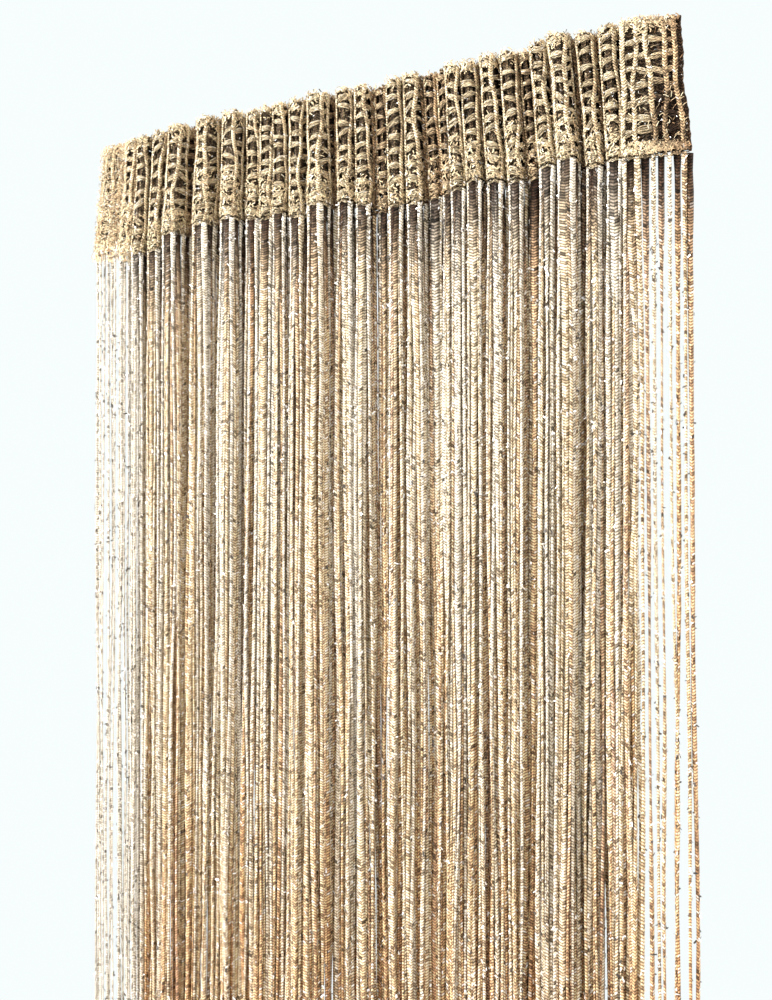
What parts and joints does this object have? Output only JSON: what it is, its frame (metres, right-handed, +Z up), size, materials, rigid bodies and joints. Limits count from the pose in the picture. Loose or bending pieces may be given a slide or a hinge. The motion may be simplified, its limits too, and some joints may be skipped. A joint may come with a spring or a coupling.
{
  "type": "string curtain on a gathered rod-pocket header",
  "caption": "Long string curtain of knitted yarn strings with metallic flecks, hanging from a gathered ladder-net header band folded double.",
  "frame": {"origin": "middle of the header's top edge, where the curtain is held up", "axes": "+X along the curtain's width, to the right seen from the front; -Y to the front; +Z up, opposite to the way the strings hang"},
  "size_m": [0.454, 0.0285, 2],
  "materials": {
    "header_yarn": "matt crocheted yarn",
    "string_yarn": "matt knitted yarn",
    "metallic_thread": "silver metallised thread"
  },
  "bodies": {
    "root": {"header": "header_yarn", "strings": "string_yarn"}
  },
  "joints": []
}
